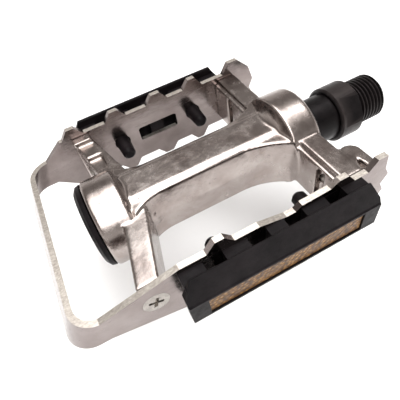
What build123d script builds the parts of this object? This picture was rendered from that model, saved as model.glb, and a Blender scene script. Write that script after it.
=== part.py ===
from build123d import *
import math
import os

# Flat (cage) bicycle pedal, right-hand side, lying level.
# X runs along the spindle and points at the crank, Y is fore and aft (the front
# side plate is at -Y, the rear one at +Y), Z is up. The origin is on the spindle
# axis, at the shoulder that seats against the crank. Millimetres throughout.

# ---------------------------------------------------------------- driving sizes
SPINDLE_THREAD_R = 25.4 * 9 / 16 / 2      # 9/16 inch pedal thread
SPINDLE_THREAD_LENGTH = 10.0
THREAD_PITCH = 25.4 / 20                  # 20 threads per inch
THREAD_DEPTH = 0.6
COLLAR_R = 8.8
COLLAR_LENGTH = 8.4
WRENCH_FLATS = 15.0                       # pedal spanner size, across flats
WRENCH_FLAT_TILT = 35.0                   # flats' normal, degrees above -Y
NECK_R = 7.4

PLATE_INNER_Y = 28.7                      # spindle axis to a side plate's inner face
SHEET = 1.6                               # cage sheet thickness
TOOTH_Z = 12.4                            # half height of the cage at a tooth
VALLEY_Z = 9.5                            # half height between teeth
LOOP_Z = 4.4                              # half height of the outboard loop
LOOP_X = -101.1                           # outer face of the loop at mid height
LOOP_LEAN = 0.42                          # loop moves this far inboard per mm of height
CAGE_CORNER_R = 7.0

HEAD_IN_X = -19.4                         # inboard end of the casting
HEAD_IN_R = 13.9
HEAD_OUT_X = -85.8                        # outboard end of the casting
HEAD_OUT_R = 12.8
WAIST_IN_X = -32.5                        # the slim middle runs between these
WAIST_OUT_X = -72.0
WAIST_HALF_WIDTH = 6.9
WAIST_HALF_HEIGHT = 9.0

BALL_R = 25.4 * 5 / 32 / 2
RACE_CLEARANCE = 0.03
BALLS_IN = (-24.8, 8.1, 12)               # plane, pitch radius, count
BALLS_OUT = (-77.9, 6.7, 10)

PLATE_SLOT = (13.9, 5.1, 0.9)              # length, height, corner radius
REFLECTOR_GAP = 3.6                       # clear space between side plate and housing
REFLECTOR_LENGTH = 52.6
REFLECTOR_DEPTH = 3.3
REFLECTOR_BACK_Z = 10.6                   # half height at the back of the housing
REFLECTOR_FRONT_Z = 3.9                   # half height at the lens
REFLECTOR_CHAMFER = (3.0, 5.0)            # cut corners of the back: along x, along z
POST_SPREAD = 13.3                        # posts at this distance either side of centre
POST_R = 2.4
POST_TIP_R = 2.1
POST_HOLE_R = 2.7
POST_TIP_Y = 21.4
STANDOFF_Z = 8.0
STANDOFFS = ((-22.2, 6.2), (-10.8, 6.4), (0, 4.8), (10.8, 6.4), (22.2, 6.2))  # offset, width
LENS_LENGTH = 43.0
LENS_HEIGHT = 6.4
LENS_THICKNESS = 1.6
LENS_RECESS = 0.5
LENS_CLEARANCE = 0.1

# ------------------------------------------------------------ worked-out places
PLATE_OUTER_Y = PLATE_INNER_Y + SHEET
FRONT, REAR = -1, 1
REFLECTOR_X = {FRONT: -48.1, REAR: -54.9}
# Each tooth: centre, half width of its top, height of the top; then the valley after it.
TEETH = {
    FRONT: (
        (-62.2, 1.2, TOOTH_Z, VALLEY_Z),
        (-28.4, 1.3, TOOTH_Z - 1.4, VALLEY_Z - 1.5),
        (-16.6, 1.5, TOOTH_Z - 1.4, VALLEY_Z - 3.5),
    ),
    REAR: (
        (-82.0, 1.2, TOOTH_Z, VALLEY_Z),
        (-67.7, 1.3, TOOTH_Z, VALLEY_Z),
        (-53.2, 1.5, TOOTH_Z, VALLEY_Z),
        (-40.1, 1.2, TOOTH_Z, VALLEY_Z - 0.6),
        (-24.5, 1.7, TOOTH_Z, VALLEY_Z - 1.2),
    ),
}
TOOTH_FLANK = 2.4
DIP = (-44.6, 2.6, 1.7)                   # front plate's dip: centre, half width, depth
PLATE_END_X = {FRONT: -12.8, REAR: -16.9}
RAMP_START_X = -93.0
RAMP_END_X = {FRONT: -72.5, REAR: -86.5}

OUT_ARM_X = -80.1                         # outboard arm centre at the side plate
OUT_ARM_ROOT_X = -75.2                    # and where it leaves the head
OUT_ARM_WIDTH = 5.8
OUT_ARM_Z = 7.4
IN_ARM_X = {FRONT: -24.4, REAR: -28.2}
IN_ARM_WIDTH = 7.4
IN_ARM_Z = 8.0

BORE_R = 5.3                              # casting bore along the waist
CUP_IN_R = 10.8
CUP_OUT_R = 9.4
CUP_IN = (-28.6, -21.8)
CUP_OUT = (-80.4, -75.6)
PRESS = 0.01                              # pressed cups leave this much radially
CAP_PLUG_R = 10.8
CAP_PLUG_LENGTH = 3.0
CAP_FLANGE = 2.1

SPINDLE_R = 4.8                           # spindle just outboard of the inboard race
SPINDLE_TIP_R = 4.0                       # threaded tip for cone and lock nut
SPINDLE_TIP_X = -85.6
CONE = (-81.8, -75.2)
WASHER_THICKNESS = 0.8
LOCK_NUT_LENGTH = 2.6
LOCK_NUT_FLATS = 12.0
TIP_CLEARANCE = 0.03

SCREW_HEAD_R = 3.4
SCREW_SHANK_R = 1.9
SCREW_LENGTH = 10.0
SCREW_CLEARANCE = 0.05
SCREW_Z = 1.0                             # screws sit a little above mid height


# ------------------------------------------------------------------- small tools
def disc(x0, x1, radius):
    """Solid cylinder about the spindle axis from x0 to x1."""
    return Pos((x0 + x1) / 2, 0, 0) * Rot(0, 90, 0) * Cylinder(radius, abs(x1 - x0))


def turned(points):
    """Solid of revolution about the spindle axis from (x, radius) points."""
    outline = Polyline([(x, 0, r) for x, r in points], close=True)
    return revolve(make_face(outline), Axis.X, 360)


def block(x0, x1, y0, y1, z0, z1):
    """Box between the given limits."""
    centre = ((x0 + x1) / 2, (y0 + y1) / 2, (z0 + z1) / 2)
    return Pos(*centre) * Box(abs(x1 - x0), abs(y1 - y0), abs(z1 - z0))


def across_y(face, y0, y1):
    """Extrude a face drawn in the XZ plane from y0 to y1."""
    return extrude(Pos(0, y0, 0) * face, amount=y1 - y0, dir=(0, 1, 0))


def ball_groove(plane):
    """Ring that clears a ball set, to cut races with."""
    x, pitch, _ = plane
    return Pos(x, 0, 0) * Rot(0, 90, 0) * Torus(pitch, BALL_R + RACE_CLEARANCE)


def ball_set(plane):
    """The balls of one bearing."""
    x, pitch, count = plane
    balls = []
    for i in range(count):
        angle = 2 * math.pi * i / count
        centre = (x, pitch * math.cos(angle), pitch * math.sin(angle))
        balls.append(Pos(*centre) * Sphere(BALL_R))
    return Compound(children=balls)


# ----------------------------------------------------------------- spindle group
def spindle_thread():
    """Threaded end: chamfered rod with a ring groove for each thread turn."""
    chamfer_x = 1.0
    root_r = SPINDLE_THREAD_R - THREAD_DEPTH
    rod = turned([
        (0, 0),
        (0, SPINDLE_THREAD_R),
        (SPINDLE_THREAD_LENGTH - chamfer_x, SPINDLE_THREAD_R),
        (SPINDLE_THREAD_LENGTH, SPINDLE_THREAD_R - chamfer_x),
        (SPINDLE_THREAD_LENGTH, 0),
    ])
    turns = int((SPINDLE_THREAD_LENGTH - chamfer_x) / THREAD_PITCH)
    for i in range(turns):
        x = (i + 0.7) * THREAD_PITCH
        rod -= turned([
            (x - THREAD_PITCH * 0.42, SPINDLE_THREAD_R + 0.1),
            (x - 0.08, root_r),
            (x + 0.08, root_r),
            (x + THREAD_PITCH * 0.42, SPINDLE_THREAD_R + 0.1),
        ])
    return rod


def wrench_collar():
    """Round collar with two spanner flats and chamfered rims."""
    rim = 0.7
    collar = turned([
        (-COLLAR_LENGTH, 0),
        (-COLLAR_LENGTH, COLLAR_R - rim),
        (-COLLAR_LENGTH + rim, COLLAR_R),
        (-rim, COLLAR_R),
        (0, COLLAR_R - rim),
        (0, 0),
    ])
    half = WRENCH_FLATS / 2
    flat_start = -COLLAR_LENGTH + 1.6
    for side in (-1, 1):
        chip = block(flat_start, 0.1, side * half, side * (half + 4), -COLLAR_R, COLLAR_R)
        collar -= Rot(-WRENCH_FLAT_TILT, 0, 0) * chip
    return collar


def spindle():
    """One-piece forged spindle with its inboard bearing race."""
    race_x = BALLS_IN[0]
    shaft = turned([
        (-COLLAR_LENGTH + 0.1, 0),
        (-COLLAR_LENGTH + 0.1, NECK_R),
        (race_x - 0.6, NECK_R),
        (race_x - 3.4, SPINDLE_R),
        (-50.0, SPINDLE_R),
        (-74.0, SPINDLE_TIP_R),
        (SPINDLE_TIP_X + 0.6, SPINDLE_TIP_R),
        (SPINDLE_TIP_X, SPINDLE_TIP_R - 0.6),
        (SPINDLE_TIP_X, 0),
    ])
    return shaft - ball_groove(BALLS_IN) + wrench_collar() + spindle_thread()


def outboard_cone():
    """Adjustable bearing cone on the spindle tip, with two spanner flats."""
    x0, x1 = CONE
    race_x, pitch, _ = BALLS_OUT
    cone = turned([
        (x0, SPINDLE_TIP_R + TIP_CLEARANCE),
        (x0, pitch - 0.2),
        (race_x - 0.3, pitch - 0.2),
        (race_x + 1.6, SPINDLE_TIP_R + 0.9),
        (x1, SPINDLE_TIP_R + 0.9),
        (x1, SPINDLE_TIP_R + TIP_CLEARANCE),
    ])
    cone -= ball_groove(BALLS_OUT)
    for side in (-1, 1):
        cone -= block(x0 - 0.1, x0 + 1.6, side * 5.5, side * 8, -8, 8)
    return cone


def tab_washer():
    """Lock washer between cone and nut."""
    x1 = CONE[0]
    x0 = x1 - WASHER_THICKNESS
    return disc(x0, x1, 6.4) - disc(x0 - 1, x1 + 1, SPINDLE_TIP_R + TIP_CLEARANCE)


def lock_nut():
    """Hexagon nut that locks the cone."""
    x1 = CONE[0] - WASHER_THICKNESS
    hexagon = RegularPolygon(LOCK_NUT_FLATS / 2, 6, major_radius=False)
    nut = Pos(x1 - LOCK_NUT_LENGTH, 0, 0) * Rot(0, 90, 0) * extrude(hexagon, LOCK_NUT_LENGTH)
    return nut - disc(x1 - 5, x1 + 1, SPINDLE_TIP_R + TIP_CLEARANCE)


# ------------------------------------------------------------------ bearing cups
def inboard_cup():
    """Pressed cup for the inboard ball set."""
    x0, x1 = CUP_IN
    race_x, pitch, _ = BALLS_IN
    cup = disc(x0, x1, CUP_IN_R - PRESS)
    cup -= disc(race_x, x1 + 1, pitch + 1.6)
    cup -= disc(x0 - 1, x1 + 1, pitch - 0.3)
    return cup - ball_groove(BALLS_IN)


def outboard_cup():
    """Pressed cup for the outboard ball set."""
    x0, x1 = CUP_OUT
    race_x, pitch, _ = BALLS_OUT
    cup = disc(x0, x1, CUP_OUT_R - PRESS)
    cup -= disc(x0 - 1, race_x, pitch + 1.6)
    cup -= disc(x0 - 1, x1 + 1, pitch - 0.1)
    return cup - ball_groove(BALLS_OUT)


# ---------------------------------------------------------------------- casting
def head(end_x, radius, shoulder_x, waist_x):
    """Round end of the casting: short barrel, then a hollow shoulder to the waist."""
    inward = 1 if waist_x > end_x else -1
    rim = 0.9
    root_r = WAIST_HALF_WIDTH + 0.6
    outline = [
        Polyline(
            (waist_x, 0, 0),
            (end_x, 0, 0),
            (end_x, 0, radius - rim),
            (end_x + inward * rim, 0, radius),
            (shoulder_x, 0, radius),
        ),
        ThreePointArc(
            (shoulder_x, 0, radius),
            (shoulder_x + (waist_x - shoulder_x) * 0.22, 0, root_r + (radius - root_r) * 0.42),
            (waist_x, 0, root_r),
        ),
        Line((waist_x, 0, root_r), (waist_x, 0, 0)),
    ]
    return revolve(make_face(outline), Axis.X, 360)


def heads():
    """The two round ends of the casting, before boring."""
    inboard = head(HEAD_IN_X, HEAD_IN_R, HEAD_IN_X - 9.2, WAIST_IN_X - 2)
    outboard = head(HEAD_OUT_X, HEAD_OUT_R, HEAD_OUT_X + 9.0, WAIST_OUT_X + 2)
    return inboard + outboard


def waist():
    """Slim middle of the casting: drafted sides that meet at mid height."""
    draft = 0.7
    crown = 0.7
    half = WAIST_HALF_WIDTH
    top = WAIST_HALF_HEIGHT
    section = Polyline(
        (0, half, 0),
        (0, half - draft, top - crown),
        (0, half - 2.6, top),
        (0, -half + 2.6, top),
        (0, -half + draft, top - crown),
        (0, -half, 0),
        (0, -half + draft, -top + crown),
        (0, -half + 2.6, -top),
        (0, half - 2.6, -top),
        (0, half - draft, -top + crown),
        close=True,
    )
    start = WAIST_OUT_X - 3
    length = WAIST_IN_X + 3 - start
    return extrude(Pos(start, 0, 0) * make_face(section), amount=length, dir=(1, 0, 0))


def waist_flare(waist_x, head_x, half_width):
    """Curved web that widens the waist to half_width at the head, seen from above."""
    side = WAIST_HALF_WIDTH - 0.7
    bend = (waist_x + (head_x - waist_x) * 0.6, side + (half_width - side) * 0.3)
    curves = []
    for y_sign in (-1, 1):
        curves.append(ThreePointArc(
            (waist_x, y_sign * side),
            (bend[0], y_sign * bend[1]),
            (head_x, y_sign * half_width),
        ))
    ends = [
        Line((waist_x, -side), (waist_x, side)),
        Line((head_x, -half_width), (head_x, half_width)),
    ]
    face = make_face(curves + ends)
    height = WAIST_HALF_HEIGHT - 0.7
    return extrude(Pos(0, 0, -height) * face, amount=2 * height, dir=(0, 0, 1))


def outboard_arm(side):
    """Slanted arm from the outboard head to a side plate."""
    half = OUT_ARM_WIDTH / 2
    root_y = side * 5.0
    tip_y = side * PLATE_INNER_Y
    plan = Polyline(
        (OUT_ARM_ROOT_X - half - 0.4, root_y),
        (OUT_ARM_X - half, tip_y),
        (OUT_ARM_X + half, tip_y),
        (OUT_ARM_ROOT_X + half + 0.8, root_y),
        close=True,
    )
    arm = extrude(Pos(0, 0, -OUT_ARM_Z) * make_face(plan), amount=2 * OUT_ARM_Z, dir=(0, 0, 1))
    pad_inner_y = side * (PLATE_INNER_Y - 3.2)
    x0 = OUT_ARM_X - half
    x1 = OUT_ARM_X + half
    if side == REAR:
        arm += block(x0, x1, pad_inner_y, tip_y, -OUT_ARM_Z - 1.6, OUT_ARM_Z + 1.6)
        pocket = block(OUT_ARM_X - 1.6, OUT_ARM_X + 3.8, 12.5, 19.0, OUT_ARM_Z - 1.6, OUT_ARM_Z + 1)
        arm -= pocket
    return arm


def inboard_arm(side):
    """Straight arm from the inboard head to a side plate, with an oval side recess."""
    x = IN_ARM_X[side]
    x0 = x - IN_ARM_WIDTH / 2
    x1 = x + IN_ARM_WIDTH / 2
    tip_y = side * PLATE_INNER_Y
    arm = block(x0, x1, side * 4, tip_y, -IN_ARM_Z, IN_ARM_Z)
    ledge = 1.3
    for z_sign in (-1, 1):
        arm -= block(
            x0 - 1, x0 + ledge, side * 9, tip_y + side,
            z_sign * (IN_ARM_Z - 1.4), z_sign * (IN_ARM_Z + 1),
        )
    recess_centre = side * (PLATE_INNER_Y - 8.2)
    oval = SlotOverall(12.5, 6.4)
    recess = Pos(x0 - 1, recess_centre, 0) * Rot(90, 0, 90) * extrude(oval, 3.0)
    return arm - recess


def hook_lug():
    """Small cast loop between the front inboard arm and the end of the side plate."""
    bar = 2.8
    arm_face = IN_ARM_X[FRONT] + IN_ARM_WIDTH / 2
    right = arm_face + 5.0
    bend_y = -19.4
    height = 3.0
    top = IN_ARM_Z - 0.2
    outline = block(arm_face - 1, right, -PLATE_INNER_Y, bend_y - bar, top - height, top)
    bend = Pos(right - 3.2, bend_y - 3.2, top - height / 2) * Cylinder(3.2, height)
    web = block(arm_face - 1, right - 3.2, bend_y - 3.2, bend_y - 0.4, top - height, top)
    slot = make_face(Polyline(
        (right - bar - 0.3, bend_y - 4.0),
        (right - bar, -PLATE_INNER_Y + 0.6),
        (arm_face + 0.3, -PLATE_INNER_Y + 0.6),
        close=True,
    ))
    opening = extrude(Pos(0, 0, top - height - 1) * slot, amount=height + 2, dir=(0, 0, 1))
    return outline + bend + web - opening


def body_bores():
    """Everything turned out of the casting: cup seats, bore, seal and cap seats."""
    hollow = disc(HEAD_OUT_X - 1, HEAD_IN_X + 1, BORE_R)
    hollow += disc(CUP_IN[0], HEAD_IN_X + 1, CUP_IN_R)
    hollow += disc(HEAD_OUT_X - 1, CUP_OUT[1], CUP_OUT_R)
    hollow += disc(HEAD_OUT_X - 1, HEAD_OUT_X + CAP_PLUG_LENGTH + 0.2, CAP_PLUG_R + 0.05)
    return hollow


def body_casting():
    """Cast aluminium body: two heads, a slim waist, four arms and the hook lug."""
    body = heads() + waist()
    body += waist_flare(WAIST_IN_X - 12, HEAD_IN_X - 9, HEAD_IN_R - 2.4)
    body += waist_flare(WAIST_OUT_X + 7, HEAD_OUT_X + 10, HEAD_OUT_R - 3)
    for side in (FRONT, REAR):
        body += outboard_arm(side)
        body += inboard_arm(side)
    body += hook_lug()
    body -= body_bores()
    for side in (FRONT, REAR):
        for x in (OUT_ARM_X, IN_ARM_X[side]):
            body -= screw_hole(x, side)
    return body


def screw_hole(x, side):
    """Hole in an arm for a cage screw."""
    depth = SCREW_LENGTH + 0.5
    y = side * (PLATE_INNER_Y - depth / 2 + 1)
    return Pos(x, y, SCREW_Z) * Rot(90, 0, 0) * Cylinder(SCREW_SHANK_R + SCREW_CLEARANCE, depth + 2)


# ---------------------------------------------------------------- caps and seals
def dust_cap():
    """Moulded cap that plugs the outboard end."""
    face_x = HEAD_OUT_X - CAP_FLANGE
    flange_r = HEAD_OUT_R - 0.5
    cap = turned([
        (HEAD_OUT_X + CAP_PLUG_LENGTH, 0),
        (HEAD_OUT_X + CAP_PLUG_LENGTH, CAP_PLUG_R),
        (HEAD_OUT_X, CAP_PLUG_R),
        (HEAD_OUT_X, flange_r),
        (face_x + 0.9, flange_r - 0.3),
        (face_x, flange_r - 1.6),
        (face_x, flange_r - 2.6),
        (face_x + 0.4, flange_r - 3.2),
        (face_x + 0.4, 0),
    ])
    return cap - disc(HEAD_OUT_X - 1.0, HEAD_OUT_X + CAP_PLUG_LENGTH + 1, CAP_PLUG_R - 1.4)


def dust_seal():
    """Ring that closes the inboard end around the spindle neck."""
    outer = turned([
        (CUP_IN[1] + 0.1, NECK_R + 0.3),
        (CUP_IN[1] + 0.1, CUP_IN_R - PRESS),
        (HEAD_IN_X, CUP_IN_R - PRESS),
        (HEAD_IN_X, HEAD_IN_R - 1.6),
        (HEAD_IN_X + 0.9, HEAD_IN_R - 2.2),
        (HEAD_IN_X + 2.6, NECK_R + 1.4),
        (HEAD_IN_X + 2.6, NECK_R + 0.3),
    ])
    return outer


# ------------------------------------------------------------------------- cage
def rounded_band(thickness):
    """The leaning U band with its two outboard corners rounded."""
    z0, z1 = -16, 16
    outer = rounded_plan(0, z0, z1)
    inner = rounded_plan(thickness, z0, z1)
    return outer - inner


def rounded_plan(inset, z0, z1):
    """Solid filled U outline, inset from the cage's outer face."""
    x0 = LOOP_X + inset + LOOP_LEAN * z0
    y1 = PLATE_OUTER_Y - inset
    radius = CAGE_CORNER_R - inset
    plan = make_face(FilletPolyline(
        (5, -y1), (x0, -y1), (x0, y1), (5, y1), radius=radius,
    ) + Line((5, y1), (5, -y1)))
    rise = z1 - z0
    slope = math.hypot(LOOP_LEAN, 1)
    return extrude(Pos(0, 0, z0) * plan, amount=rise * slope, dir=(LOOP_LEAN, 0, 1))


def half_outline(side):
    """Points of the side plate's upper edge, from the loop to the inboard end."""
    points = [
        (LOOP_X - 10, LOOP_Z),
        (RAMP_START_X, LOOP_Z),
        (RAMP_END_X[side], VALLEY_Z),
    ]
    valley = VALLEY_Z
    for centre, half_top, top, next_valley in TEETH[side]:
        points += [
            (centre - half_top - TOOTH_FLANK, valley),
            (centre - half_top, top),
            (centre + half_top, top),
            (centre + half_top + TOOTH_FLANK, next_valley),
        ]
        valley = next_valley
        if side == FRONT and centre < DIP[0]:
            points += dip_outline(valley)
    end = PLATE_END_X[side]
    points[-1] = (end - 1.6, valley)
    points += [(end, LOOP_Z - 1.2), (end - 1.6, 0)]
    return points


def dip_outline(valley):
    """Shallow dip in the middle of the front plate's upper edge."""
    centre, half_width, depth = DIP
    return [
        (centre - half_width - TOOTH_FLANK * 2, valley),
        (centre, valley - depth),
        (centre + half_width, valley - depth),
        (centre + half_width + TOOTH_FLANK * 0.7, valley - 0.4),
    ]


def plate_profile(side):
    """Face of a side plate and its half of the loop, in the XZ plane."""
    upper = half_outline(side)
    lower = [(x, -z) for x, z in reversed(upper) if z > 0]
    return make_face(Polyline([(x, 0, z) for x, z in upper + lower], close=True))


def plate_holes(side):
    """Openings of one side plate: middle slot, post holes and screw seats."""
    x = REFLECTOR_X[side]
    y0 = side * (PLATE_INNER_Y - 2)
    y1 = side * (PLATE_OUTER_Y + 2)
    slot = RectangleRounded(*PLATE_SLOT)
    holes = extrude(Pos(x, y0, 0) * Rot(90, 0, 0) * slot, amount=abs(y1 - y0), dir=(0, side, 0))
    for offset in (-POST_SPREAD, POST_SPREAD):
        holes += Pos(x + offset, (y0 + y1) / 2, 0) * Rot(90, 0, 0) * Cylinder(
            POST_HOLE_R, abs(y1 - y0))
    for screw_x in (OUT_ARM_X, IN_ARM_X[side]):
        holes += screw_seat(screw_x, side)
    return holes


def screw_seat(x, side):
    """Countersunk hole for a cage screw."""
    shank = Pos(x, side * PLATE_INNER_Y, SCREW_Z) * Rot(90, 0, 0) * Cylinder(
        SCREW_SHANK_R + SCREW_CLEARANCE, 4)
    return shank + countersink(x, side, SCREW_CLEARANCE)


def countersink(x, side, grow):
    """Cone of a screw head, from the plate's outer face inward."""
    depth = SCREW_HEAD_R - SCREW_SHANK_R
    cone = Cone(SCREW_SHANK_R + grow, SCREW_HEAD_R + grow, depth)
    y = side * (PLATE_OUTER_Y - depth / 2)
    return Pos(x, y, SCREW_Z) * Rot(-90 * side, 0, 0) * cone


def cage():
    """One bent strip: two toothed side plates joined by the outboard loop."""
    outline = across_y(plate_profile(FRONT), -40, 0) + across_y(plate_profile(REAR), 0, 40)
    strip = rounded_band(SHEET) & outline
    for side in (FRONT, REAR):
        strip -= plate_holes(side)
    return strip


def cage_screw(x, side):
    """Countersunk cross-recess screw that holds the cage to an arm."""
    tip_y = side * (PLATE_OUTER_Y - SCREW_LENGTH)
    top_y = side * PLATE_OUTER_Y
    middle_y = (tip_y + top_y) / 2
    shank = Pos(x, middle_y, SCREW_Z) * Rot(90, 0, 0) * Cylinder(SCREW_SHANK_R, SCREW_LENGTH)
    screw = shank + countersink(x, side, 0)
    for angle in (20, 110):
        slot = Pos(x, top_y, SCREW_Z) * Rot(0, angle, 0) * Box(3.8, 1.6, 0.9)
        screw -= slot
    return screw


# ------------------------------------------------------------------- reflectors
def housing_section(side):
    """Cross section of a reflector housing, in the YZ plane."""
    back = PLATE_OUTER_Y + REFLECTOR_GAP
    front = back + REFLECTOR_DEPTH
    half = [
        (back, REFLECTOR_BACK_Z - 0.5),
        (back + 0.4, REFLECTOR_BACK_Z),
        (front - 0.4, REFLECTOR_FRONT_Z + 0.4),
        (front, REFLECTOR_FRONT_Z),
    ]
    points = half + [(y, -z) for y, z in reversed(half)]
    return make_face(Polyline([(0, side * y, z) for y, z in points], close=True))


def housing_outline():
    """Outline of a reflector housing seen from the lens side, in the XZ plane."""
    cut_x, cut_z = REFLECTOR_CHAMFER
    half_x = REFLECTOR_LENGTH / 2
    corner = [
        (half_x, REFLECTOR_BACK_Z - cut_z),
        (half_x - cut_x, REFLECTOR_BACK_Z + 1),
    ]
    upper = corner + [(-x, z) for x, z in reversed(corner)]
    points = upper + [(x, -z) for x, z in reversed(upper)]
    return make_face(Polyline([(x, 0, z) for x, z in points], close=True))


def reflector_housing(side):
    """Moulded housing with a lens pocket and two posts through the side plate."""
    x = REFLECTOR_X[side]
    back = PLATE_OUTER_Y + REFLECTOR_GAP
    front = back + REFLECTOR_DEPTH
    section = Pos(x - REFLECTOR_LENGTH / 2, 0, 0) * housing_section(side)
    housing = extrude(section, amount=REFLECTOR_LENGTH, dir=(1, 0, 0))
    housing &= Pos(x, 0, 0) * across_y(housing_outline(), -front, front)
    pocket_depth = LENS_THICKNESS + LENS_RECESS
    pocket_x = LENS_LENGTH / 2 + LENS_CLEARANCE
    pocket_z = LENS_HEIGHT / 2 + LENS_CLEARANCE
    housing -= block(
        x - pocket_x, x + pocket_x,
        side * (front - pocket_depth), side * (front + 1),
        -pocket_z, pocket_z,
    )
    for offset, width in STANDOFFS:
        left = x + offset - width / 2
        housing += block(
            left, left + width,
            side * PLATE_OUTER_Y, side * (back + 1),
            -STANDOFF_Z, STANDOFF_Z,
        )
    for offset in (-POST_SPREAD, POST_SPREAD):
        housing += reflector_post(x + offset, side)
    return housing


def reflector_post(x, side):
    """Tapered round post that passes through the side plate, with a bevelled tip."""
    base_y = PLATE_OUTER_Y + REFLECTOR_GAP + 0.1
    length = base_y - POST_TIP_Y
    bevel = 0.8
    outline = Polyline(
        (0, 0, 0),
        (POST_R, 0, 0),
        (POST_R, 0, base_y - PLATE_INNER_Y + 0.6),
        (POST_TIP_R, 0, length - bevel),
        (POST_TIP_R - bevel, 0, length),
        (0, 0, length),
        close=True,
    )
    post = revolve(make_face(outline), Axis.Z, 360)
    return Pos(x, side * base_y, 0) * Rot(90 * side, 0, 0) * post


def reflector_lens(side):
    """Flat amber lens in the housing's pocket."""
    x = REFLECTOR_X[side]
    front = PLATE_OUTER_Y + REFLECTOR_GAP + REFLECTOR_DEPTH
    return block(
        x - LENS_LENGTH / 2, x + LENS_LENGTH / 2,
        side * (front - LENS_RECESS - LENS_THICKNESS), side * (front - LENS_RECESS),
        -LENS_HEIGHT / 2, LENS_HEIGHT / 2,
    )


# ------------------------------------------------------------------------ output
def all_parts():
    """Every node's name and solid."""
    parts = {
        "spindle": spindle(),
        "outboard_cone": outboard_cone(),
        "tab_washer": tab_washer(),
        "lock_nut": lock_nut(),
        "inboard_balls": ball_set(BALLS_IN),
        "outboard_balls": ball_set(BALLS_OUT),
        "inboard_cup": inboard_cup(),
        "outboard_cup": outboard_cup(),
        "body_casting": body_casting(),
        "dust_cap": dust_cap(),
        "dust_seal": dust_seal(),
        "cage": cage(),
    }
    for label, side in (("front", FRONT), ("rear", REAR)):
        parts[f"cage_screw_{label}_outboard"] = cage_screw(OUT_ARM_X, side)
        parts[f"cage_screw_{label}_inboard"] = cage_screw(IN_ARM_X[side], side)
        parts[f"reflector_housing_{label}"] = reflector_housing(side)
        parts[f"reflector_lens_{label}"] = reflector_lens(side)
    return parts


os.makedirs("parts", exist_ok=True)
for node, shape in all_parts().items():
    export_step(shape, f"parts/{node}.step")
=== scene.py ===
import math

import bpy
from mathutils import Matrix, Vector


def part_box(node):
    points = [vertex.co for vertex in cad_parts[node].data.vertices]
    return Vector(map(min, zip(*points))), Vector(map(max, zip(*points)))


MM = 0.001

# The photograph's viewpoint: lens and sensor in millimetres, place in metres.
CAMERA_SENSOR = 36
CAMERA_LENS = 32.22
CAMERA_PLACE = (-0.0764, -0.0693, 0.0780)
CAMERA_RIGHT = (0.8808, -0.4517, -0.1418)
CAMERA_DOWN = (-0.4353, -0.6550, -0.6176)
CAMERA_FORWARD = (0.1861, 0.6057, -0.7736)
CAMERA_CLIP = 5 * MM

# Name, place, side of the square and watts of each soft light.
LIGHTS = (
    ("key", (0.06, 0.34, 0.80), 0.38, 1.4),
    ("fill", (0.30, 0.05, 0.85), 0.30, 1.5),
    ("front", (-0.10, -0.60, 0.75), 0.60, 5.5),
)
LIGHT_TARGET = (-0.05, 0, 0)

# Height on the sky's dome, from 0 at the horizon to 1 overhead, and the colour there.
SKY = (
    (0.0, (0.27, 0.262, 0.255)),
    (0.22, (0.20, 0.192, 0.186)),
    (0.48, (0.07, 0.065, 0.062)),
    (0.79, (0.07, 0.064, 0.06)),
    (0.89, (0.60, 0.59, 0.58)),
    (0.96, (1.0, 0.99, 0.98)),
)
SKY_STRENGTH = 3.8

FLOOR_SIZE = 6
FLOOR_GAP = 1 * MM

BEVEL_ANGLE = math.radians(30)
CAGE_BEVEL = 0.35 * MM
HOUSING_BEVEL = 0.25 * MM
SPINDLE_BEVEL = 0.12 * MM
DUST_CAP_BEVEL = 0.2 * MM
CASTING_VOXEL = 0.3 * MM
CASTING_ROUNDS = 14
CASTING_SMOOTHING = 0.5

# Sockets of a Mix node that blends colours; it repeats their names for other types.
MIX_FACTOR = 0
MIX_FIRST = 6
MIX_SECOND = 7
MIX_RESULT = 2


# ------------------------------------------------------------------ node helpers
def new_material(name):
    """A new material, its node tree and its Principled shader."""
    material = bpy.data.materials.new(name)
    material.use_nodes = True
    tree = material.node_tree
    tree.nodes.clear()
    output = tree.nodes.new("ShaderNodeOutputMaterial")
    shader = tree.nodes.new("ShaderNodeBsdfPrincipled")
    tree.links.new(shader.outputs["BSDF"], output.inputs["Surface"])
    return material, tree, shader


def feed(tree, socket, value):
    """Give an input socket another socket, a colour or a number."""
    if isinstance(value, bpy.types.NodeSocket):
        tree.links.new(value, socket)
    elif isinstance(value, tuple):
        socket.default_value = (*value, 1)
    else:
        socket.default_value = value


def place(tree, stretch=(1, 1, 1)):
    """Object-space position, each axis multiplied by its stretch."""
    coordinates = tree.nodes.new("ShaderNodeTexCoord")
    mapping = tree.nodes.new("ShaderNodeMapping")
    mapping.inputs["Scale"].default_value = stretch
    tree.links.new(coordinates.outputs["Object"], mapping.inputs["Vector"])
    return mapping.outputs["Vector"]


def noise(tree, scale, detail, roughness, stretch=(1, 1, 1), distortion=0.0):
    """Fractal noise value; scale is in waves per metre."""
    node = tree.nodes.new("ShaderNodeTexNoise")
    node.inputs["Scale"].default_value = scale
    node.inputs["Detail"].default_value = detail
    node.inputs["Roughness"].default_value = roughness
    node.inputs["Distortion"].default_value = distortion
    tree.links.new(place(tree, stretch), node.inputs["Vector"])
    return node.outputs["Fac"]


def ramp(tree, value, stops):
    """Colour ramp through (position, colour) stops."""
    node = tree.nodes.new("ShaderNodeValToRGB")
    elements = node.color_ramp.elements
    while len(elements) < len(stops):
        elements.new(0.5)
    for element, (position, colour) in zip(elements, stops):
        element.position = position
        element.color = (*colour, 1)
    tree.links.new(value, node.inputs["Fac"])
    return node.outputs["Color"]


def shade(tree, value, low, high, start=0.3, end=0.7):
    """Grey that goes from low to high while the value goes from start to end."""
    return ramp(tree, value, [(start, (low, low, low)), (end, (high, high, high))])


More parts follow.
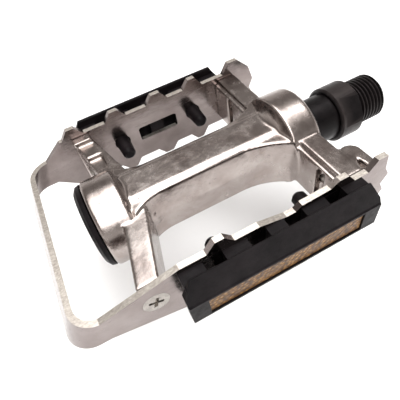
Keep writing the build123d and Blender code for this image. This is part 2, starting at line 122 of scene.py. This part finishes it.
def mix(tree, factor, first, second, blend="MIX"):
    """Blend of two colours, each a socket or a tuple."""
    node = tree.nodes.new("ShaderNodeMix")
    node.data_type = "RGBA"
    node.blend_type = blend
    feed(tree, node.inputs[MIX_FACTOR], factor)
    feed(tree, node.inputs[MIX_FIRST], first)
    feed(tree, node.inputs[MIX_SECOND], second)
    return node.outputs[MIX_RESULT]


def maths(tree, operation, first, second=0.0):
    """Arithmetic on sockets or numbers."""
    node = tree.nodes.new("ShaderNodeMath")
    node.operation = operation
    feed(tree, node.inputs[0], first)
    feed(tree, node.inputs[1], second)
    return node.outputs[0]


def bump(tree, height, distance, strength, under=None):
    """Normal from a height value; distance in metres."""
    node = tree.nodes.new("ShaderNodeBump")
    node.inputs["Strength"].default_value = strength
    node.inputs["Distance"].default_value = distance
    tree.links.new(height, node.inputs["Height"])
    if under is not None:
        tree.links.new(under, node.inputs["Normal"])
    return node.outputs["Normal"]


def convexity(tree, start, end):
    """Value that goes from 0 to 1 while the surface turns from hollow to edge."""
    geometry = tree.nodes.new("ShaderNodeNewGeometry")
    return shade(tree, geometry.outputs["Pointiness"], 0, 1, start, end)


def sheet_edge(tree):
    """Value that is 1 on faces square to the pedal's Z axis, either way up."""
    coordinates = tree.nodes.new("ShaderNodeTexCoord")
    split = tree.nodes.new("ShaderNodeSeparateXYZ")
    tree.links.new(coordinates.outputs["Normal"], split.inputs[0])
    upright = maths(tree, "ABSOLUTE", split.outputs["Z"])
    return shade(tree, upright, 0, 1, start=0.8, end=0.95)


# --------------------------------------------------------------------- materials
def cast_aluminium():
    """Tumbled and polished casting: cloudy tone, painted shade and grime in hollows,
    pits and scuffs.
    """
    material, tree, shader = new_material("cast_aluminium_skin")
    dark = (0.29, 0.243, 0.225)
    light = (0.43, 0.385, 0.362)
    grime_and_shade = (0.17, 0.14, 0.125)
    cloud = noise(tree, scale=110, detail=6, roughness=0.62, distortion=0.6)
    tone = ramp(tree, cloud, [(0.32, dark), (0.68, light)])
    specks = noise(tree, scale=1100, detail=2, roughness=0.5)
    pits = shade(tree, specks, low=0.4, high=1, start=0.24, end=0.30)
    pitted = mix(tree, 0.7, tone, pits, "MULTIPLY")
    # Hollows are darkened: painted shade together with grime.
    colour = mix(tree, convexity(tree, start=0.42, end=0.485), grime_and_shade, pitted)
    tree.links.new(colour, shader.inputs["Base Color"])
    shader.inputs["Metallic"].default_value = 1.0
    wear = noise(tree, scale=230, detail=6, roughness=0.7)
    tree.links.new(shade(tree, wear, low=0.16, high=0.32), shader.inputs["Roughness"])
    waves = noise(tree, scale=110, detail=3, roughness=0.5)
    scuffs = noise(tree, scale=1500, detail=4, roughness=0.6)
    wavy = bump(tree, waves, 0.7 * MM, strength=0.35)
    scuffed = bump(tree, scuffs, 0.04 * MM, strength=0.35, under=wavy)
    tree.links.new(scuffed, shader.inputs["Normal"])
    return material


def sheet_aluminium():
    """Polished sheet with drawn scratches, soft ripples and brighter edge faces, partly
    sheared finish and partly painted highlight.
    """
    material, tree, shader = new_material("polished_sheet")
    face_dark = (0.20, 0.165, 0.157)
    face_light = (0.32, 0.28, 0.268)
    # Edge faces are lighter than the sides: partly the sheared finish, partly painted
    # highlight as on edges facing the light.
    torn_and_lit_dark = (0.36, 0.31, 0.275)
    torn_and_lit_light = (0.74, 0.70, 0.64)
    torn_roughness = (0.42, 0.42, 0.42)
    cloud = noise(tree, scale=70, detail=5, roughness=0.6)
    face = ramp(tree, cloud, [(0.32, face_dark), (0.68, face_light)])
    tear = noise(tree, scale=2400, detail=4, roughness=0.7, stretch=(0.5, 1, 1))
    torn_and_lit = ramp(tree, tear, [(0.3, torn_and_lit_dark), (0.7, torn_and_lit_light)])
    edge = sheet_edge(tree)
    tree.links.new(mix(tree, edge, face, torn_and_lit), shader.inputs["Base Color"])
    shader.inputs["Metallic"].default_value = 1.0
    scratches = noise(
        tree, scale=1100, detail=5, roughness=0.7, stretch=(0.1, 1, 1), distortion=0.3,
    )
    polished = shade(tree, scratches, low=0.15, high=0.30, start=0.35, end=0.7)
    tree.links.new(mix(tree, edge, polished, torn_roughness), shader.inputs["Roughness"])
    ripples = noise(tree, scale=75, detail=3, roughness=0.5)
    rippled = bump(tree, ripples, 0.7 * MM, strength=0.45)
    scratched = bump(tree, scratches, 0.04 * MM, strength=0.5, under=rippled)
    tree.links.new(scratched, shader.inputs["Normal"])
    return material


def black_plastic(name, dark, dusty, smoothest, roughest, grain_scale):
    """Moulded plastic with a fine spark-eroded grain and dusty patches."""
    material, tree, shader = new_material(name)
    dust = noise(tree, scale=150, detail=6, roughness=0.68)
    body = ramp(tree, dust, [(0.40, dark), (0.78, dusty)])
    tree.links.new(body, shader.inputs["Base Color"])
    wear = noise(tree, scale=400, detail=4, roughness=0.6)
    tree.links.new(shade(tree, wear, smoothest, roughest), shader.inputs["Roughness"])
    shader.inputs["Specular IOR Level"].default_value = 0.1
    grain = noise(tree, grain_scale, detail=2, roughness=0.5)
    tree.links.new(bump(tree, grain, 0.05 * MM, strength=0.5), shader.inputs["Normal"])
    return material


def black_steel():
    """Black-oxide steel with worn, brighter edges."""
    material, tree, shader = new_material("black_oxide_steel")
    dark = (0.003, 0.0023, 0.0025)
    light = (0.011, 0.0085, 0.009)
    bare = (0.15, 0.125, 0.12)
    cloud = noise(tree, scale=240, detail=6, roughness=0.65)
    body = ramp(tree, cloud, [(0.3, dark), (0.75, light)])
    worn = maths(tree, "MULTIPLY", convexity(tree, start=0.52, end=0.62), 0.3)
    tree.links.new(mix(tree, worn, body, bare), shader.inputs["Base Color"])
    shader.inputs["Metallic"].default_value = 0.5
    shader.inputs["Specular IOR Level"].default_value = 0.2
    wear = noise(tree, scale=700, detail=5, roughness=0.65)
    tree.links.new(shade(tree, wear, low=0.28, high=0.5), shader.inputs["Roughness"])
    grain = noise(tree, scale=1800, detail=3, roughness=0.6)
    tree.links.new(bump(tree, grain, 0.05 * MM, strength=0.5), shader.inputs["Normal"])
    return material


def plated_steel(name, dull, bright, smoothest):
    """Zinc-plated or ground steel."""
    material, tree, shader = new_material(name)
    roughest = smoothest + 0.14
    cloud = noise(tree, scale=500, detail=4, roughness=0.6)
    colour = ramp(tree, cloud, [(0.3, dull), (0.7, bright)])
    tree.links.new(colour, shader.inputs["Base Color"])
    shader.inputs["Metallic"].default_value = 1.0
    wear = noise(tree, scale=1300, detail=3, roughness=0.6)
    tree.links.new(shade(tree, wear, smoothest, roughest), shader.inputs["Roughness"])
    grain = noise(tree, scale=2500, detail=2, roughness=0.5)
    tree.links.new(bump(tree, grain, 0.02 * MM, strength=0.4), shader.inputs["Normal"])
    return material


def amber_lens():
    """Amber prismatic lens: small cells with painted glints and shade, tinted in
    patches.
    """
    material, tree, shader = new_material("amber_prisms")
    bright = (0.44, 0.27, 0.11)
    middle = (0.22, 0.12, 0.045)
    deep = (0.08, 0.042, 0.02)
    cool = (0.62, 0.56, 0.60)
    warm = (1.0, 0.92, 0.72)
    cells = tree.nodes.new("ShaderNodeTexVoronoi")
    cells.inputs["Scale"].default_value = 1000
    tree.links.new(place(tree), cells.inputs["Vector"])
    distance = cells.outputs["Distance"]
    # Painted glints: each prism cell is bright at its centre and dark towards its rim.
    sparkle = ramp(tree, distance, [(0.05, bright), (0.35, middle), (0.75, deep)])
    drift = noise(tree, scale=55, detail=5, roughness=0.62)
    tint = ramp(tree, drift, [(0.38, cool), (0.62, warm)])
    tinted = mix(tree, 0.85, sparkle, tint, "MULTIPLY")
    tree.links.new(tinted, shader.inputs["Base Color"])
    shader.inputs["Metallic"].default_value = 0.2
    shader.inputs["Roughness"].default_value = 0.4
    shader.inputs["Specular IOR Level"].default_value = 0.3
    tree.links.new(bump(tree, distance, 0.3 * MM, strength=0.7), shader.inputs["Normal"])
    return material


def studio_paper():
    """Pale matt paper."""
    material, tree, shader = new_material("studio_paper")
    cloud = noise(tree, scale=12, detail=3, roughness=0.55)
    tree.links.new(shade(tree, cloud, low=0.90, high=0.93), shader.inputs["Base Color"])
    shader.inputs["Roughness"].default_value = 0.9
    return material


# ------------------------------------------------------------------------ pieces
def dress(piece, material):
    """Give a CAD piece one material."""
    piece.data.materials.clear()
    piece.data.materials.append(material)


def bevel(piece, width, segments=3):
    """Round a piece's sharp edges."""
    modifier = piece.modifiers.new("bevel", "BEVEL")
    modifier.width = width
    modifier.segments = segments
    modifier.limit_method = "ANGLE"
    modifier.angle_limit = BEVEL_ANGLE
    modifier.harden_normals = False


def soften(piece):
    """Fuse a CAD shape into one skin and melt its edges, as a casting's fillets do."""
    skin = piece.modifiers.new("skin", "REMESH")
    skin.mode = "VOXEL"
    skin.voxel_size = CASTING_VOXEL
    skin.use_smooth_shade = True
    melt = piece.modifiers.new("melt", "SMOOTH")
    melt.factor = CASTING_SMOOTHING
    melt.iterations = CASTING_ROUNDS


# ------------------------------------------------------------------------- stage
def photograph_camera():
    """Camera at the photograph's viewpoint."""
    data = bpy.data.cameras.new("camera")
    data.sensor_width = CAMERA_SENSOR
    data.lens = CAMERA_LENS
    data.clip_start = CAMERA_CLIP
    camera = bpy.data.objects.new("camera", data)
    bpy.context.scene.collection.objects.link(camera)
    axes = (Vector(CAMERA_RIGHT), -Vector(CAMERA_DOWN), -Vector(CAMERA_FORWARD))
    turn = Matrix(axes).transposed().to_4x4()
    camera.matrix_world = Matrix.Translation(Vector(CAMERA_PLACE)) @ turn
    bpy.context.scene.camera = camera


def area_light(name, location, side, power):
    """Soft square light aimed at the pedal."""
    data = bpy.data.lights.new(name, "AREA")
    data.shape = "RECTANGLE"
    data.size = side
    data.size_y = side
    data.energy = power
    lamp = bpy.data.objects.new(name, data)
    lamp.location = location
    direction = Vector(LIGHT_TARGET) - Vector(location)
    lamp.rotation_euler = direction.to_track_quat("-Z", "Y").to_euler()
    bpy.context.scene.collection.objects.link(lamp)


def swing_radius():
    """How far the pedal reaches from its spindle as it turns."""
    corners = [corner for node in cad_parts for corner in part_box(node)]
    return max(math.hypot(corner.y, corner.z) for corner in corners)


def lay_floor():
    """Pale floor just clear of the turning pedal."""
    height = -swing_radius() - FLOOR_GAP
    bpy.ops.mesh.primitive_plane_add(size=FLOOR_SIZE, location=(0, 0, height))
    floor = bpy.context.object
    floor.name = "floor"
    floor.data.materials.append(studio_paper())


def sky():
    """Studio surround: bright overhead, dim walls and a paler horizon."""
    world = bpy.data.worlds.new("studio")
    bpy.context.scene.world = world
    world.use_nodes = True
    tree = world.node_tree
    coordinates = tree.nodes.new("ShaderNodeTexCoord")
    split = tree.nodes.new("ShaderNodeSeparateXYZ")
    tree.links.new(coordinates.outputs["Generated"], split.inputs[0])
    background = tree.nodes["Background"]
    dome = ramp(tree, split.outputs["Z"], SKY)
    tree.links.new(dome, background.inputs["Color"])
    background.inputs["Strength"].default_value = SKY_STRENGTH


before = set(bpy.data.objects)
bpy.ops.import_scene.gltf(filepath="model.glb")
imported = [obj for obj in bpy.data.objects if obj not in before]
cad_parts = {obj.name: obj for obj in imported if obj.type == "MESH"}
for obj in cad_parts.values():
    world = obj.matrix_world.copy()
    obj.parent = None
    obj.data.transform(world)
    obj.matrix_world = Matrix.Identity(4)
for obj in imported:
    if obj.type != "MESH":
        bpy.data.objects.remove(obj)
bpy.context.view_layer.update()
photograph_camera()

cast = cast_aluminium()
sheet = sheet_aluminium()
moulded = black_plastic(
    "black_moulding", (0.0035, 0.0025, 0.003), (0.013, 0.010, 0.011), 0.36, 0.58, 2200,
)
rubber = black_plastic(
    "seal_rubber", (0.010, 0.010, 0.010), (0.028, 0.027, 0.026), 0.5, 0.7, 1500,
)
oxide = black_steel()
ground = plated_steel("ground_steel", (0.55, 0.55, 0.56), (0.68, 0.68, 0.68), 0.16)
zinc = plated_steel("zinc_plate", (0.26, 0.24, 0.22), (0.42, 0.39, 0.36), 0.22)
amber = amber_lens()

# Pieces that aren't named here are zinc-plated fasteners.
LOOKS = {
    "spindle": oxide,
    "outboard_cone": ground,
    "tab_washer": zinc,
    "lock_nut": zinc,
    "inboard_balls": ground,
    "outboard_balls": ground,
    "inboard_cup": ground,
    "outboard_cup": ground,
    "body_casting": cast,
    "dust_cap": moulded,
    "dust_seal": rubber,
    "cage": sheet,
    "reflector_housing_front": moulded,
    "reflector_housing_rear": moulded,
    "reflector_lens_front": amber,
    "reflector_lens_rear": amber,
}
for node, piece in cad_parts.items():
    dress(piece, LOOKS.get(node, zinc))

bevel(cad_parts["cage"], CAGE_BEVEL)
bevel(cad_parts["reflector_housing_front"], HOUSING_BEVEL)
bevel(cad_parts["reflector_housing_rear"], HOUSING_BEVEL)
bevel(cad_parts["spindle"], SPINDLE_BEVEL, segments=2)
bevel(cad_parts["dust_cap"], DUST_CAP_BEVEL)
soften(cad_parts["body_casting"])

lay_floor()
sky()
for name, location, side, power in LIGHTS:
    area_light(name, location, side, power)

bpy.context.scene.view_settings.view_transform = "Standard"
